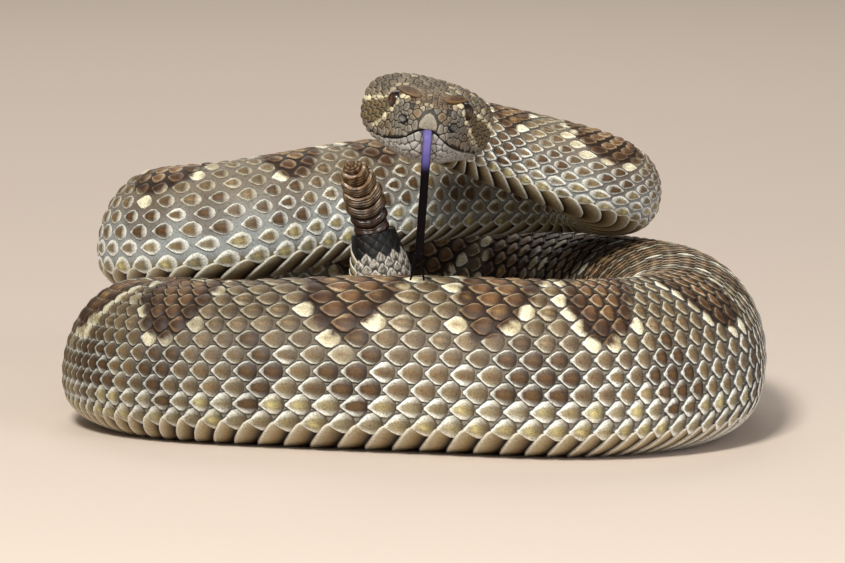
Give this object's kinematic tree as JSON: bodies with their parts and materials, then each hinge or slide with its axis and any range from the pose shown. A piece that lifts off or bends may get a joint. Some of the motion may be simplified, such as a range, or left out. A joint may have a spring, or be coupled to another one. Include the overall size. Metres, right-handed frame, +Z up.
{
  "type": "coiled rattlesnake",
  "caption": "Life-size rattlesnake lying in a coil, neck folded back over it, head raised and level, forked tongue hanging out and rattle upright.",
  "frame": {"origin": "On the ground, under the middle of the coil's bounding box.", "axes": "+Z is up; -Y is the way the head looks, and the coil is longest along Y; +X is the animal's left side as its head faces -Y."},
  "size_m": [0.1636, 0.1725, 0.083],
  "materials": {
    "hide": "dry keeled scales, olive brown with dark blotches, matt",
    "lip": "smooth pale lower jaw plates, satin",
    "eye": "clear glossy eye with an upright slit pupil",
    "tongue": "moist, violet at the mouth and black below",
    "horn": "thin amber brown horn rings, worn"
  },
  "bodies": {
    "root": {"head": "hide", "lower_jaw": "lip", "eye_left": "eye", "eye_right": "eye", "tongue": "tongue", "neck": "hide", "trunk_01": "hide", "trunk_02": "hide", "trunk_03": "hide", "trunk_04": "hide", "trunk_05": "hide", "trunk_06": "hide", "trunk_07": "hide", "trunk_08": "hide", "trunk_09": "hide", "trunk_10": "hide", "trunk_11": "hide", "trunk_12": "hide", "trunk_13": "hide", "trunk_14": "hide", "tail": "hide", "rattle_1": "horn", "rattle_2": "horn", "rattle_3": "horn", "rattle_4": "horn", "rattle_5": "horn", "rattle_6": "horn", "rattle_7": "horn"}
  },
  "joints": []
}
